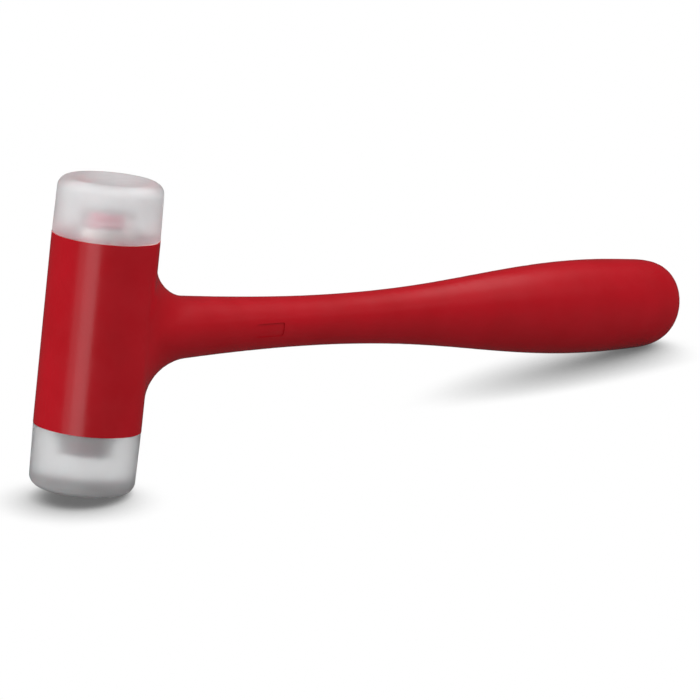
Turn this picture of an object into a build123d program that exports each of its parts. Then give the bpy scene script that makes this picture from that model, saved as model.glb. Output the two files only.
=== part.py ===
from build123d import *
import math
import os

os.makedirs("parts", exist_ok=True)

# A dead blow mallet lying on a bench, on the rim of its lower striking face and the belly of its grip.
# Origin: centre of the lower striking face. +Z is up from the bench and the handle points along +X.
# Every piece is drawn with the head's axis on Z and the handle along X, then finish() lays it down.

# ---- driving dimensions (mm) ----
HEAD_RADIUS = 20.0
BARREL_LENGTH = 71.2
LOWER_FACE_LENGTH = 23.3
UPPER_FACE_LENGTH = 21.1
HANDLE_REACH = 292.5  # head axis to the end of the butt
THREAD_PITCH = 3.0
BOSS_RADIUS = 7.4  # over the thread crests
BOSS_LENGTH = 8.7
BALL_DIAMETER = 6.0
BALL_GAP = 0.1
BALL_LAYERS = 6
BALL_ROWS = 3  # rows tried to each side of a layer's centre
CORE_RADIUS = 6.0

# ---- heights along the head's axis ----
BARREL_BOTTOM = LOWER_FACE_LENGTH
BARREL_TOP = BARREL_BOTTOM + BARREL_LENGTH
MID_HEIGHT = (BARREL_BOTTOM + BARREL_TOP) / 2

# ---- screw thread between plug and striking face ----
THREAD_DEPTH = 1.0
THREAD_GAP = 0.2  # radial, boss crest to face bore
RIDGE_FOOT = 1.5  # width of a ridge where it stands on its cylinder
RIDGE_CREST = 0.7
RIDGE_SINK = 0.3  # how far the foot is sunk, so that the ridge joins
CREST_RELIEF = 0.05  # a face's ridge is this much lower than a boss's
BOSS_ROOT = BOSS_RADIUS - THREAD_DEPTH
FACE_BORE = BOSS_RADIUS + THREAD_GAP
FIRST_THREAD = 3.1  # joint plane to the middle of the boss's first ridge
BOSS_TURNS = 1.4
FACE_TURNS = 1.3

# ---- end plugs, cushions and canister ----
CHAMBER_RADIUS = 16.0
PLUG_FIT = 0.02  # radial, plug to chamber
PLUG_RADIUS = CHAMBER_RADIUS - PLUG_FIT
PLUG_THICKNESS = 8.0
CUSHION_THICKNESS = 1.5
CANISTER_RADIUS = 15.5
CANISTER_WALL = 1.0
DISC_THICKNESS = 2.0
CANISTER_BOTTOM = BARREL_BOTTOM + PLUG_THICKNESS + CUSHION_THICKNESS
CANISTER_TOP = BARREL_TOP - PLUG_THICKNESS - CUSHION_THICKNESS
CANISTER_BORE = CANISTER_RADIUS - CANISTER_WALL
FILLER_RADIUS = 3.2
FILLER_HEAD_RADIUS = 5.0
FILLER_HEAD_HEIGHT = 1.0
CUSHION_HOLE = FILLER_HEAD_RADIUS + 0.3

# ---- handle skeleton ----
COLLAR_RADIUS = 17.3
COLLAR_HEIGHT = 16.0
SOCKET_RADIUS = 8.0
SOCKET_END = 34.0
CORE_START = 18.0
CORE_END = 258.0
CORE_BORE = 4.3
CAP_THICKNESS = 2.0
CAP_SPIGOT = 8.0
PIN_RADIUS = 1.5
PIN_STATION = 27.0
PIN_LENGTH = 2 * SOCKET_RADIUS - 0.6  # just short of flush at both ends

# ---- handle outline: station along the handle and half height ----
HANDLE_OUTLINE = (
    (8.0, 13.5),
    (40.0, 11.6),
    (100.0, 9.5),
    (160.0, 11.8),
    (220.0, 17.6),
    (250.0, 18.6),
    (272.0, 17.9),
    (284.5, 15.9),
    (290.6, 11.6),
    (HANDLE_REACH, 5.0),
)
HANDLE_STEPS = 30
ROOT_FILLET = 22.0
ROOT_RATIO = 1.15  # half width over half height where the handle meets the barrel
GRIP_RATIO = 0.82
BELLY_STEPS = 400  # points tried when the bench is laid against the belly
NECK_START = 50.0
GRIP_START = 200.0

# ---- blank label recess on the side of the neck ----
LABEL_STATION = 74.5
LABEL_DROP = 0.4
LABEL_LENGTH = 14.0
LABEL_WIDTH = 5.2
LABEL_CORNER = 0.8
LABEL_DEPTH = 0.35

# ---- striking faces ----
FACE_RADIUS_AT_JOINT = 19.9
FACE_RADIUS_AT_END = 19.5
FACE_EDGE = 4.2  # rounding of the striking edge
FACE_CHAMFER = 0.4
FACE_SOCKET = 9.7
RING_SEAT_RADIUS = 9.4
RING_SEAT_DEPTH = 3.8
RING_INNER = 7.7
RING_OUTER = 9.2
RING_HEIGHT = 3.4
RING_ROUNDING = 0.3

outline = Spline(*HANDLE_OUTLINE, tangents=[(1, -0.05), (0.05, -1)])
HANDLE_LINE = Plane(origin=(0, 0, MID_HEIGHT), x_dir=(0, 1, 0), z_dir=(1, 0, 0))
LABEL_PLANE = Plane(origin=(LABEL_STATION, 0, MID_HEIGHT - LABEL_DROP), x_dir=(1, 0, 0), z_dir=(0, -1, 0))
UPPER_JOINT = Location((0, 0, BARREL_TOP))
LOWER_JOINT = Location((0, 0, BARREL_BOTTOM), (180, 0, 0))


def width_ratio(station):
    """Half width over half height: wide at the root, narrower than high at the grip."""
    along = (station - NECK_START) / (GRIP_START - NECK_START)
    along = min(max(along, 0.0), 1.0)
    blend = along * along * (3 - 2 * along)
    return ROOT_RATIO + (GRIP_RATIO - ROOT_RATIO) * blend


def lie_angle():
    """Angle between the bench and the lower face: the bench touches its rim and the grip's belly."""
    rim = Vector(FACE_RADIUS_AT_END - FACE_EDGE, FACE_EDGE)  # centre of the edge's rounding
    angles = []
    for step in range(BELLY_STEPS):
        point = outline @ (step / BELLY_STEPS)
        reach = Vector(point.X, MID_HEIGHT - point.Y) - rim
        angles.append(math.atan2(reach.Y, reach.X) + math.asin(FACE_EDGE / reach.length))
    return math.degrees(min(angles))


def handle_bar(inset=0.0):
    """The bare handle, or the same shape with its skin set inwards."""
    with BuildPart() as bar:
        for step in range(HANDLE_STEPS + 1):
            point = outline @ (step / HANDLE_STEPS)
            half_width = point.Y * width_ratio(point.X)
            with BuildSketch(HANDLE_LINE.offset(point.X)):
                Ellipse(half_width - inset, point.Y - inset)
        loft()
    return bar.part


def thread_ridge(foot_radius, depth, first, turns):
    """One helical ridge on a cylinder; a negative depth makes it point inwards."""
    sink = math.copysign(RIDGE_SINK, depth)
    with BuildPart() as ridge:
        with BuildLine() as path:
            Helix(pitch=THREAD_PITCH, height=THREAD_PITCH * turns, radius=foot_radius, center=(0, 0, first))
        with BuildSketch(Plane(origin=path.line @ 0, x_dir=(1, 0, 0), z_dir=path.line % 0)):
            Polygon(
                (-sink, -RIDGE_FOOT / 2),
                (-sink, RIDGE_FOOT / 2),
                (depth, RIDGE_CREST / 2),
                (depth, -RIDGE_CREST / 2),
                align=None,
            )
        sweep(is_frenet=True)
    return ridge.part


def end_plug():
    """A plug with its threaded boss, the joint plane at Z = 0 and the boss upwards."""
    with BuildPart() as plug:
        with BuildSketch(Plane.XY.offset(-PLUG_THICKNESS)):
            Circle(PLUG_RADIUS)
        extrude(amount=PLUG_THICKNESS)
        with BuildSketch():
            Circle(BOSS_ROOT)
        extrude(amount=BOSS_LENGTH)
        chamfer(plug.edges().sort_by(Axis.Z)[-1], THREAD_DEPTH / 2)
        add(thread_ridge(BOSS_ROOT, THREAD_DEPTH, FIRST_THREAD, BOSS_TURNS))
    return plug.part


def striking_face(length):
    """A screw-on face, its open end at Z = 0 and its striking end upwards."""
    with BuildPart() as face:
        with BuildSketch(Plane.XZ):
            with BuildLine():
                Polyline(
                    (0, 0),
                    (FACE_RADIUS_AT_JOINT - FACE_CHAMFER, 0),
                    (FACE_RADIUS_AT_JOINT, FACE_CHAMFER),
                    (FACE_RADIUS_AT_END, length),
                    (0, length),
                    close=True,
                )
            make_face()
        revolve(axis=Axis.Z)
        fillet(face.edges().group_by(Axis.Z)[-1], FACE_EDGE)
        with BuildSketch():
            Circle(FACE_BORE)
        extrude(amount=FACE_SOCKET, mode=Mode.SUBTRACT)
        with BuildSketch():
            Circle(RING_SEAT_RADIUS)
        extrude(amount=RING_SEAT_DEPTH, mode=Mode.SUBTRACT)
        first = FIRST_THREAD + THREAD_PITCH / 2
        add(thread_ridge(FACE_BORE, -THREAD_DEPTH + CREST_RELIEF, first, FACE_TURNS))
    return face.part


def grip_ring():
    """The ring that sits in the seat of a striking face, its underside at Z = 0."""
    with BuildPart() as ring:
        with BuildSketch():
            Circle(RING_OUTER)
            Circle(RING_INNER, mode=Mode.SUBTRACT)
        extrude(amount=RING_HEIGHT)
        fillet(ring.edges(), RING_ROUNDING)
    return ring.part


def bar_along_handle(start, end, radius):
    """A round bar along the handle's line, used to cut and to build the skeleton."""
    with BuildPart() as bar:
        with BuildSketch(HANDLE_LINE.offset(start)):
            Circle(radius)
        extrude(amount=end - start)
    return bar.part


def write(part, name):
    """Name a piece that already lies in its place, and write it."""
    part.label = name
    export_step(part, f"parts/{name}.step")


def finish(part, name):
    """Lay a finished piece down with the mallet, then write it."""
    write(part.rotate(Axis.Y, LIE_ANGLE), name)


LIE_ANGLE = lie_angle()
print("lie angle", LIE_ANGLE, "degrees")

# ---- moulded body: barrel and handle in one piece, hollow for the canister and skeleton ----
bar = handle_bar()
core_space = bar_along_handle(CORE_START, CORE_END + CAP_THICKNESS, CORE_RADIUS)
socket_space = bar_along_handle(0, SOCKET_END, SOCKET_RADIUS)

with BuildPart() as label_tool:
    with BuildSketch(LABEL_PLANE):
        RectangleRounded(LABEL_LENGTH, LABEL_WIDTH, LABEL_CORNER)
    extrude(amount=HEAD_RADIUS)
    add(handle_bar(LABEL_DEPTH), mode=Mode.SUBTRACT)

with BuildPart() as body:
    with BuildSketch(Plane(origin=(0, 0, BARREL_BOTTOM), x_dir=(-1, 0, 0), z_dir=(0, 0, 1))):
        Circle(HEAD_RADIUS)
    extrude(amount=BARREL_LENGTH)
    add(bar)
    root_edges = body.edges().filter_by(lambda edge: edge.geom_type not in (GeomType.LINE, GeomType.CIRCLE))
    fillet(root_edges.filter_by(lambda edge: 0 < edge.center().X < HEAD_RADIUS + 1), ROOT_FILLET)
    with BuildSketch(Plane.XY.offset(BARREL_BOTTOM)):
        Circle(CHAMBER_RADIUS)
    extrude(amount=BARREL_LENGTH, mode=Mode.SUBTRACT)
    with BuildSketch(Plane.XY.offset(MID_HEIGHT - COLLAR_HEIGHT / 2)):
        Circle(COLLAR_RADIUS)
    extrude(amount=COLLAR_HEIGHT, mode=Mode.SUBTRACT)
    add(socket_space, mode=Mode.SUBTRACT)
    add(core_space, mode=Mode.SUBTRACT)
    add(label_tool.part, mode=Mode.SUBTRACT)
finish(body.part, "moulded_body")

# ---- end plugs, striking faces and grip rings ----
plug_shape = end_plug()
ring_shape = grip_ring()
for side, joint, face_length in (
    ("upper", UPPER_JOINT, UPPER_FACE_LENGTH),
    ("lower", LOWER_JOINT, LOWER_FACE_LENGTH),
):
    finish(plug_shape.moved(joint), f"{side}_plug")
    finish(striking_face(face_length).moved(joint), f"{side}_face")
    finish(ring_shape.moved(joint), f"{side}_grip_ring")

# ---- shot canister ----
with BuildPart() as tube:
    with BuildSketch(Plane.XY.offset(CANISTER_BOTTOM)):
        Circle(CANISTER_RADIUS)
        Circle(CANISTER_BORE, mode=Mode.SUBTRACT)
    extrude(amount=CANISTER_TOP - CANISTER_BOTTOM)
finish(tube.part, "canister_tube")

with BuildPart() as lower_disc:
    with BuildSketch(Plane.XY.offset(CANISTER_BOTTOM)):
        Circle(CANISTER_BORE)
    extrude(amount=DISC_THICKNESS)
finish(lower_disc.part, "canister_lower_disc")

with BuildPart() as upper_disc:
    with BuildSketch(Plane.XY.offset(CANISTER_TOP - DISC_THICKNESS)):
        Circle(CANISTER_BORE)
        Circle(FILLER_RADIUS, mode=Mode.SUBTRACT)
    extrude(amount=DISC_THICKNESS)
finish(upper_disc.part, "canister_upper_disc")

with BuildPart() as filler:
    with BuildSketch(Plane.XY.offset(CANISTER_TOP - DISC_THICKNESS)):
        Circle(FILLER_RADIUS)
    extrude(amount=DISC_THICKNESS)
    with BuildSketch(Plane.XY.offset(CANISTER_TOP)):
        Circle(FILLER_HEAD_RADIUS)
    extrude(amount=FILLER_HEAD_HEIGHT)
finish(filler.part, "canister_filler_plug")

for side, bottom in (("upper", CANISTER_TOP), ("lower", BARREL_BOTTOM + PLUG_THICKNESS)):
    with BuildPart() as cushion:
        with BuildSketch(Plane.XY.offset(bottom)):
            Circle(CANISTER_RADIUS)
            Circle(CUSHION_HOLE, mode=Mode.SUBTRACT)
        extrude(amount=CUSHION_THICKNESS)
    finish(cushion.part, f"{side}_cushion")

# ---- shot: close-packed layers of loose balls, at rest on the lower disc ----
spacing = BALL_DIAMETER + BALL_GAP
layer_step = spacing * math.sqrt(2 / 3)
first_layer = CANISTER_BOTTOM + DISC_THICKNESS + BALL_DIAMETER / 2 + BALL_GAP / 2
reach = CANISTER_BORE - BALL_DIAMETER / 2 - BALL_GAP / 2
rows = range(-BALL_ROWS, BALL_ROWS + 1)
balls = []
for layer in range(BALL_LAYERS):
    shift = spacing / math.sqrt(3) if layer % 2 else 0.0
    height = first_layer + layer * layer_step
    for row in rows:
        for column in rows:
            x = row * spacing * math.sqrt(3) / 2 + shift
            y = (column + row / 2) * spacing
            if math.hypot(x, y) < reach:
                centre = Vector(x, y, height).rotate(Axis.Y, LIE_ANGLE)
                balls.append(Pos(centre) * Sphere(BALL_DIAMETER / 2))
write(Compound(children=balls), "shot")
free_travel = CANISTER_TOP - DISC_THICKNESS - first_layer - (BALL_LAYERS - 1) * layer_step - BALL_DIAMETER / 2
print("balls", len(balls), "free travel", round(free_travel, 2))

# ---- handle skeleton ----
with BuildPart() as collar:
    with BuildSketch(Plane.XY.offset(MID_HEIGHT - COLLAR_HEIGHT / 2)):
        Circle(COLLAR_RADIUS)
    extrude(amount=COLLAR_HEIGHT)
    add(socket_space)
    with BuildSketch(Plane.XY.offset(MID_HEIGHT - COLLAR_HEIGHT / 2)):
        Circle(CANISTER_RADIUS)
    extrude(amount=COLLAR_HEIGHT, mode=Mode.SUBTRACT)
    add(core_space, mode=Mode.SUBTRACT)
    with BuildSketch(Plane.XZ.offset(-SOCKET_RADIUS)):
        with Locations((PIN_STATION, MID_HEIGHT)):
            Circle(PIN_RADIUS)
    extrude(amount=2 * SOCKET_RADIUS, mode=Mode.SUBTRACT)
finish(collar.part, "core_collar")

with BuildPart() as core:
    with BuildSketch(HANDLE_LINE.offset(CORE_START)):
        Circle(CORE_RADIUS)
        Circle(CORE_BORE, mode=Mode.SUBTRACT)
    extrude(amount=CORE_END - CORE_START)
    with BuildSketch(Plane.XZ.offset(-SOCKET_RADIUS)):
        with Locations((PIN_STATION, MID_HEIGHT)):
            Circle(PIN_RADIUS)
    extrude(amount=2 * SOCKET_RADIUS, mode=Mode.SUBTRACT)
finish(core.part, "handle_core")

with BuildPart() as pin:
    with BuildSketch(Plane.XZ.offset(-PIN_LENGTH / 2)):
        with Locations((PIN_STATION, MID_HEIGHT)):
            Circle(PIN_RADIUS)
    extrude(amount=PIN_LENGTH)
finish(pin.part, "core_pin")

with BuildPart() as core_cap:
    with BuildSketch(HANDLE_LINE.offset(CORE_END - CAP_SPIGOT)):
        Circle(CORE_BORE)
    extrude(amount=CAP_SPIGOT)
    with BuildSketch(HANDLE_LINE.offset(CORE_END)):
        Circle(CORE_RADIUS)
    extrude(amount=CAP_THICKNESS)
finish(core_cap.part, "core_end_cap")
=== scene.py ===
import math

import bpy
from mathutils import Matrix, Vector


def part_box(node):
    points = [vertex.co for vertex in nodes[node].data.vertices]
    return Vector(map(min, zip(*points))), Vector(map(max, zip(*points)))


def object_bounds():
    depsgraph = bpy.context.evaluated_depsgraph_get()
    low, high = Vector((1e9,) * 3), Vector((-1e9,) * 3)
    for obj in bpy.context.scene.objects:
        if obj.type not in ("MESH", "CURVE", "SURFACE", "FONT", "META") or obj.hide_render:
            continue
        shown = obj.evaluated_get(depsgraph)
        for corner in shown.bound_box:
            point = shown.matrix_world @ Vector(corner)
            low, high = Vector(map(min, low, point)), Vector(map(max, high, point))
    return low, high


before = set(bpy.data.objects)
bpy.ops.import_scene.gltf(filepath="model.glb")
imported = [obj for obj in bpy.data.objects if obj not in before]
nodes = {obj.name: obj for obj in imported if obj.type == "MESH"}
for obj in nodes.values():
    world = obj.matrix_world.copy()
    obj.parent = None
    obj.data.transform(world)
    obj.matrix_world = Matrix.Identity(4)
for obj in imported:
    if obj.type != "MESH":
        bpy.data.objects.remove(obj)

cad_low, cad_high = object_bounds()

# ---- the view: where the camera stands, in degrees and metres ----
CAMERA_AZIMUTH = -40.57
CAMERA_ELEVATION = 16.54
CAMERA_ROLL = -0.72
CAMERA_DISTANCE = 2.085
CAMERA_LENS = 281.3  # in mm, as is the sensor
SENSOR = 36.0
TARGET = Vector((0.1310, 0, 0.0263))

# ---- the bench and the head, from the frame ----
BENCH_HEIGHT = cad_low[2]
FLOOR_RADIUS = 0.65
FLOOR_SIDES = 64
# the bench's shade is painted: its glow dims where the mallet is within reach, looked for upwards and
# towards the back right
SHADE_AZIMUTH = 158  # from the camera's
SHADE_ELEVATION = 50
SHADE_REACH = 0.027
SHADE_RANGE = (0.20, 0.86)  # share of open directions at the darkest and at plain white
SHADE_DARKEST = 0.14
SHADE_SAMPLES = 16
FLOOR_BOUNCE = 0.45  # how much light the bench throws back at the mallet
face_low, face_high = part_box("upper_face")
LIT_POINT = Vector((0.06, 0, (BENCH_HEIGHT + face_high[2]) / 2))  # where the lights aim


# ---- camera ----
def looking(azimuth, elevation):
    """Unit vector from the object towards a stand at that azimuth and elevation."""
    a, e = math.radians(azimuth), math.radians(elevation)
    return Vector((math.sin(a) * math.cos(e), -math.cos(a) * math.cos(e), math.sin(e)))


def facing(direction):
    """A turn that points an object's -Z along the direction, with its Y upwards."""
    return direction.to_track_quat("-Z", "Y").to_matrix().to_4x4()


def add_camera():
    back = looking(CAMERA_AZIMUTH, CAMERA_ELEVATION)
    data = bpy.data.cameras.new("camera")
    data.lens = CAMERA_LENS
    data.sensor_width = SENSOR
    data.clip_end = 20
    camera = bpy.data.objects.new("camera", data)
    roll = Matrix.Rotation(math.radians(CAMERA_ROLL), 4, "Z")
    camera.matrix_world = Matrix.Translation(TARGET + back * CAMERA_DISTANCE) @ facing(-back) @ roll
    bpy.context.scene.collection.objects.link(camera)
    bpy.context.scene.camera = camera


add_camera()


# ---- lights ----
def softbox(name, azimuth, elevation, distance, width, height, radiance, lights=True, mirrored=True):
    """An area light aimed at the mallet; azimuth is counted from the camera's."""
    towards = looking(CAMERA_AZIMUTH + azimuth, elevation)
    data = bpy.data.lights.new(name, "AREA")
    data.shape = "RECTANGLE"
    data.size = width
    data.size_y = height
    data.energy = radiance * math.pi * width * height
    light = bpy.data.objects.new(name, data)
    light.matrix_world = Matrix.Translation(LIT_POINT + towards * distance) @ facing(-towards)
    light.visible_camera = False
    light.visible_diffuse = lights
    light.visible_glossy = mirrored
    light.visible_transmission = lights
    bpy.context.scene.collection.objects.link(light)


softbox("key", -70, 38, 1.6, 0.9, 0.9, 6.0, mirrored=False)
softbox("fill", 84, 35, 1.8, 0.9, 1.0, 3.0, mirrored=False)
softbox("back", 125, 48, 1.6, 0.9, 0.9, 2.2, mirrored=False)
softbox("top", 10, 66, 1.5, 1.3, 0.8, 1.6)
# a level bar mirrors along its own length, so the handle's streak comes from overhead and towards the butt
softbox("overhead", 130, 51, 1.6, 1.5, 0.5, 1.1, lights=False)
# the camera looks down, so an upright side mirrors what is low: these stand below the bench's level
softbox("band", -23, -14, 1.6, 0.80, 1.5, 1.6, lights=False)
softbox("band_edge", -45, -14, 1.7, 0.50, 1.5, 0.7, lights=False)


def add_world():
    """A white backdrop, seen directly or through the faces, and a dimmer room around the mallet."""
    world = bpy.data.worlds.new("studio")
    bpy.context.scene.world = world
    world.use_nodes = True
    tree = world.node_tree
    tree.nodes.clear()
    path = tree.nodes.new("ShaderNodeLightPath")
    out = tree.nodes.new("ShaderNodeOutputWorld")
    shader = None
    for ray, strength in ((None, 1.0), ("Is Diffuse Ray", 0.42), ("Is Glossy Ray", 0.05)):
        background = tree.nodes.new("ShaderNodeBackground")
        background.inputs["Color"].default_value = (1, 1, 1, 1)
        background.inputs["Strength"].default_value = strength
        if ray:
            mix = tree.nodes.new("ShaderNodeMixShader")
            tree.links.new(path.outputs[ray], mix.inputs["Fac"])
            tree.links.new(shader, mix.inputs[1])
            tree.links.new(background.outputs[0], mix.inputs[2])
            shader = mix.outputs[0]
        else:
            shader = background.outputs[0]
    tree.links.new(shader, out.inputs["Surface"])


add_world()
bpy.context.scene.view_settings.view_transform = "Standard"


# ---- material helpers ----
def new_material(name):
    material = bpy.data.materials.new(name)
    material.use_nodes = True
    tree = material.node_tree
    shader = tree.nodes["Principled BSDF"]
    return material, tree, shader


def noise(tree, scale, detail=4.0, roughness=0.55):
    place = tree.nodes.new("ShaderNodeTexCoord")
    node = tree.nodes.new("ShaderNodeTexNoise")
    node.inputs["Scale"].default_value = scale
    node.inputs["Detail"].default_value = detail
    node.inputs["Roughness"].default_value = roughness
    tree.links.new(place.outputs["Object"], node.inputs["Vector"])
    return node


def ramp(tree, source, low, high, start=0.3, end=0.7):
    node = tree.nodes.new("ShaderNodeMapRange")
    node.inputs["From Min"].default_value = start
    node.inputs["From Max"].default_value = end
    node.inputs["To Min"].default_value = low
    node.inputs["To Max"].default_value = high
    tree.links.new(source, node.inputs["Value"])
    return node.outputs["Result"]


def blend_colours(tree, factor, first, second):
    node = tree.nodes.new("ShaderNodeMix")
    node.data_type = "RGBA"
    node.inputs[6].default_value = (*first, 1)
    node.inputs[7].default_value = (*second, 1)
    tree.links.new(factor, node.inputs["Factor"])
    return node.outputs[2]


def bump(tree, shader, height, strength, distance):
    node = tree.nodes.new("ShaderNodeBump")
    node.inputs["Strength"].default_value = strength
    node.inputs["Distance"].default_value = distance
    tree.links.new(height, node.inputs["Height"])
    tree.links.new(node.outputs["Normal"], shader.inputs["Normal"])


def tinted(tree, shader, scale, dark, light):
    """Base colour that drifts slowly between two shades."""
    cloud = noise(tree, scale, 3)
    colour = blend_colours(tree, ramp(tree, cloud.outputs["Fac"], 0, 1), dark, light)
    tree.links.new(colour, shader.inputs["Base Color"])


def smeared(tree, shader, scale, low, high):
    """Roughness that varies like handling marks."""
    smear = noise(tree, scale, 5)
    tree.links.new(ramp(tree, smear.outputs["Fac"], low, high), shader.inputs["Roughness"])


# ---- materials ----
def red_plastic(name, dark, light):
    material, tree, shader = new_material(name)
    tinted(tree, shader, 45, dark, light)
    smeared(tree, shader, 120, 0.20, 0.27)
    bump(tree, shader, noise(tree, 260, 3).outputs["Fac"], 0.05, 0.00004)
    return material


def milky_plastic():
    """Cloudy plastic: most of the light passes through, the rest scatters inside."""
    material, tree, shader = new_material("milky_plastic")
    tinted(tree, shader, 60, (0.79, 0.795, 0.805), (0.84, 0.845, 0.85))
    smeared(tree, shader, 200, 0.36, 0.44)
    shader.inputs["IOR"].default_value = 1.38
    shader.inputs["Transmission Weight"].default_value = 0.72
    shader.inputs["Subsurface Weight"].default_value = 1.0
    shader.inputs["Subsurface Radius"].default_value = (1.0, 0.85, 0.85)
    shader.inputs["Subsurface Scale"].default_value = 0.008
    bump(tree, shader, noise(tree, 500, 3).outputs["Fac"], 0.08, 0.00004)
    return material


def steel(name, colour, roughness):
    material, tree, shader = new_material(name)
    tinted(tree, shader, 80, [c * 0.8 for c in colour], colour)
    smeared(tree, shader, 300, roughness - 0.06, roughness + 0.08)
    shader.inputs["Metallic"].default_value = 1.0
    bump(tree, shader, noise(tree, 1500).outputs["Fac"], 0.1, 0.00005)
    return material


def rubber(name, colour):
    material, tree, shader = new_material(name)
    tinted(tree, shader, 90, [c * 0.7 for c in colour], colour)
    smeared(tree, shader, 250, 0.62, 0.78)
    bump(tree, shader, noise(tree, 1800).outputs["Fac"], 0.2, 0.00008)
    return material


red = red_plastic("body_red_plastic", (0.44, 0.004, 0.010), (0.49, 0.005, 0.013))
plug_red = red_plastic("plug_red_plastic", (0.50, 0.015, 0.09), (0.58, 0.02, 0.11))
milky = milky_plastic()
zinc = steel("zinc_plate", (0.62, 0.63, 0.65), 0.3)
ball_steel = steel("ball_steel", (0.50, 0.51, 0.53), 0.18)
plain_steel = steel("plain_steel", (0.36, 0.37, 0.39), 0.4)
dark_rubber = rubber("cushion_rubber", (0.05, 0.05, 0.055))
pale_rubber = rubber("ring_rubber", (0.72, 0.70, 0.66))
nylon = rubber("cap_nylon", (0.10, 0.10, 0.11))

LOOKS = {
    "moulded_body": red,
    "upper_plug": plug_red,
    "lower_plug": plug_red,
    "upper_face": milky,
    "lower_face": milky,
    "upper_grip_ring": pale_rubber,
    "lower_grip_ring": pale_rubber,
    "canister_tube": zinc,
    "canister_upper_disc": zinc,
    "canister_lower_disc": zinc,
    "canister_filler_plug": zinc,
    "upper_cushion": dark_rubber,
    "lower_cushion": dark_rubber,
    "shot": ball_steel,
    "core_collar": plain_steel,
    "handle_core": plain_steel,
    "core_pin": plain_steel,
    "core_end_cap": nylon,
}
nodes["upper_face"].visible_shadow = False  # so that the boss inside is lit, as through cloudy plastic
for name, material in LOOKS.items():
    for index in range(len(nodes[name].material_slots)):
        nodes[name].material_slots[index].material = material


# ---- floor ----
def floor_paper():
    """Plain white glow with painted shade only near the mallet; grey in the light that it throws back."""
    material, tree, shader = new_material("floor_paper")
    material.cycles.emission_sampling = "NONE"
    shader.inputs["Base Color"].default_value = (FLOOR_BOUNCE, FLOOR_BOUNCE, FLOOR_BOUNCE, 1)
    shader.inputs["Roughness"].default_value = 0.9
    shader.inputs["Specular IOR Level"].default_value = 0.0
    lean = tree.nodes.new("ShaderNodeCombineXYZ")
    for index, share in enumerate(looking(CAMERA_AZIMUTH + SHADE_AZIMUTH, SHADE_ELEVATION)):
        lean.inputs[index].default_value = share
    nearness = tree.nodes.new("ShaderNodeAmbientOcclusion")
    nearness.samples = SHADE_SAMPLES
    nearness.inputs["Distance"].default_value = SHADE_REACH
    tree.links.new(lean.outputs["Vector"], nearness.inputs["Normal"])
    seen = tree.nodes.new("ShaderNodeEmission")
    seen.inputs["Color"].default_value = (1, 1, 1, 1)
    # painted shade: the glow's strength falls where the mallet is near, and no lamp casts it
    painted_shade = ramp(tree, nearness.outputs["AO"], SHADE_DARKEST, 1, *SHADE_RANGE)
    tree.links.new(painted_shade, seen.inputs["Strength"])
    path = tree.nodes.new("ShaderNodeLightPath")
    mix = tree.nodes.new("ShaderNodeMixShader")
    out = tree.nodes["Material Output"]
    tree.links.new(path.outputs["Is Diffuse Ray"], mix.inputs["Fac"])
    tree.links.new(seen.outputs[0], mix.inputs[1])
    tree.links.new(shader.outputs[0], mix.inputs[2])
    tree.links.new(mix.outputs[0], out.inputs["Surface"])
    return material


def add_floor():
    mesh = bpy.data.meshes.new("floor")
    turns = [math.tau * i / FLOOR_SIDES for i in range(FLOOR_SIDES)]
    rim = [(FLOOR_RADIUS * math.cos(t), FLOOR_RADIUS * math.sin(t), BENCH_HEIGHT) for t in turns]
    mesh.from_pydata(rim, [], [list(range(FLOOR_SIDES))])
    floor = bpy.data.objects.new("floor", mesh)
    bpy.context.scene.collection.objects.link(floor)
    mesh.materials.append(floor_paper())
    floor.visible_glossy = False
    floor.visible_shadow = False


add_floor()
